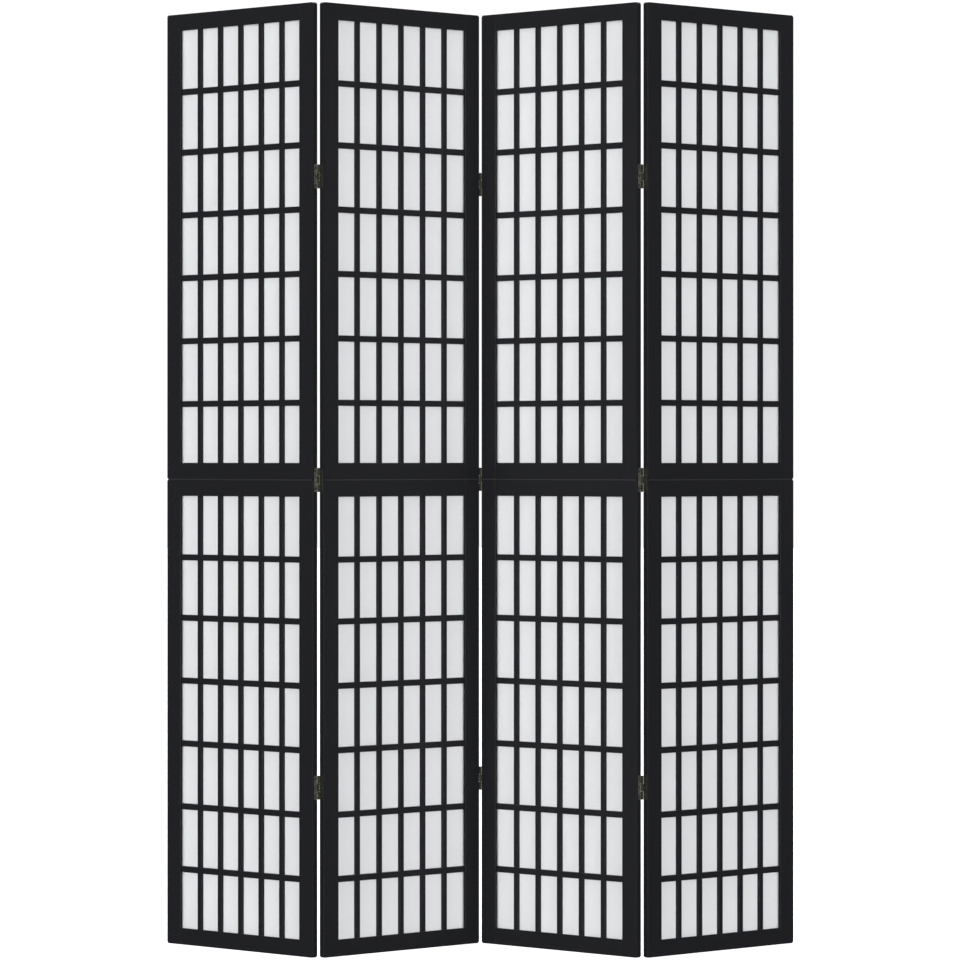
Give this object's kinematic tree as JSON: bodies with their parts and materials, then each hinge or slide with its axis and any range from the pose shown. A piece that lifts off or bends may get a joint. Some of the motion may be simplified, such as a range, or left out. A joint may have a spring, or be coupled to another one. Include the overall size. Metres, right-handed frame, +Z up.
{
  "type": "shoji folding screen",
  "caption": "Free-standing folding screen of black wooden lattice frames backed with translucent white sheets, hinged edge to edge so that it stands in a zigzag and folds flat.",
  "frame": {"origin": "on the floor, in the middle of the standing zigzag's footprint", "axes": "+X to the right and +Y to the back seen from the lattice side, +Z up; panels count from left to right seen from the lattice side"},
  "size_m": [1.2156, 0.2816, 1.8],
  "materials": {
    "frame_wood": "satin black lacquer over softwood",
    "lattice_wood": "satin black lacquer over softwood",
    "screen_sheet": "matt translucent white, fibrous",
    "tenon_wood": "bare hardwood, glued in",
    "hinge_metal": "antique bronze plating over steel"
  },
  "bodies": {
    "panel_1": {"fold_1_2_hinge_leaves_panel_1": "hinge_metal", "panel_1_lower_cross_bars": "lattice_wood", "panel_1_lower_rails": "frame_wood", "panel_1_lower_sheet": "screen_sheet", "panel_1_lower_stiles": "frame_wood", "panel_1_lower_vertical_bars": "lattice_wood", "panel_1_seam_tenons": "tenon_wood", "panel_1_upper_cross_bars": "lattice_wood", "panel_1_upper_rails": "frame_wood", "panel_1_upper_sheet": "screen_sheet", "panel_1_upper_stiles": "frame_wood", "panel_1_upper_vertical_bars": "lattice_wood"},
    "panel_2": {"fold_1_2_hinge_leaves_panel_2": "hinge_metal", "fold_1_2_hinge_pins": "hinge_metal", "fold_2_3_hinge_leaves_panel_2": "hinge_metal", "fold_2_3_hinge_pins": "hinge_metal", "panel_2_lower_cross_bars": "lattice_wood", "panel_2_lower_rails": "frame_wood", "panel_2_lower_sheet": "screen_sheet", "panel_2_lower_stiles": "frame_wood", "panel_2_lower_vertical_bars": "lattice_wood", "panel_2_seam_tenons": "tenon_wood", "panel_2_upper_cross_bars": "lattice_wood", "panel_2_upper_rails": "frame_wood", "panel_2_upper_sheet": "screen_sheet", "panel_2_upper_stiles": "frame_wood", "panel_2_upper_vertical_bars": "lattice_wood"},
    "panel_3": {"fold_2_3_hinge_leaves_panel_3": "hinge_metal", "fold_3_4_hinge_leaves_panel_3": "hinge_metal", "fold_3_4_hinge_pins": "hinge_metal", "panel_3_lower_cross_bars": "lattice_wood", "panel_3_lower_rails": "frame_wood", "panel_3_lower_sheet": "screen_sheet", "panel_3_lower_stiles": "frame_wood", "panel_3_lower_vertical_bars": "lattice_wood", "panel_3_seam_tenons": "tenon_wood", "panel_3_upper_cross_bars": "lattice_wood", "panel_3_upper_rails": "frame_wood", "panel_3_upper_sheet": "screen_sheet", "panel_3_upper_stiles": "frame_wood", "panel_3_upper_vertical_bars": "lattice_wood"},
    "panel_4": {"fold_3_4_hinge_leaves_panel_4": "hinge_metal", "panel_4_lower_cross_bars": "lattice_wood", "panel_4_lower_rails": "frame_wood", "panel_4_lower_sheet": "screen_sheet", "panel_4_lower_stiles": "frame_wood", "panel_4_lower_vertical_bars": "lattice_wood", "panel_4_seam_tenons": "tenon_wood", "panel_4_upper_cross_bars": "lattice_wood", "panel_4_upper_rails": "frame_wood", "panel_4_upper_sheet": "screen_sheet", "panel_4_upper_stiles": "frame_wood", "panel_4_upper_vertical_bars": "lattice_wood"}
  },
  "joints": [
    {"name": "fold_1_2", "type": "hinge", "parent": "panel_2", "child": "panel_1", "pos_m": [-0.30499, -0.13229, 0.9], "axis": [0, 0, -1], "range_deg": [-86, 94]},
    {"name": "fold_2_3", "type": "hinge", "parent": "panel_2", "child": "panel_3", "pos_m": [0, 0.13229, 0.9], "axis": [0, 0, -1], "range_deg": [-86, 94]},
    {"name": "fold_3_4", "type": "hinge", "parent": "panel_3", "child": "panel_4", "pos_m": [0.30499, -0.13229, 0.9], "axis": [0, 0, 1], "range_deg": [-86, 94]}
  ]
}
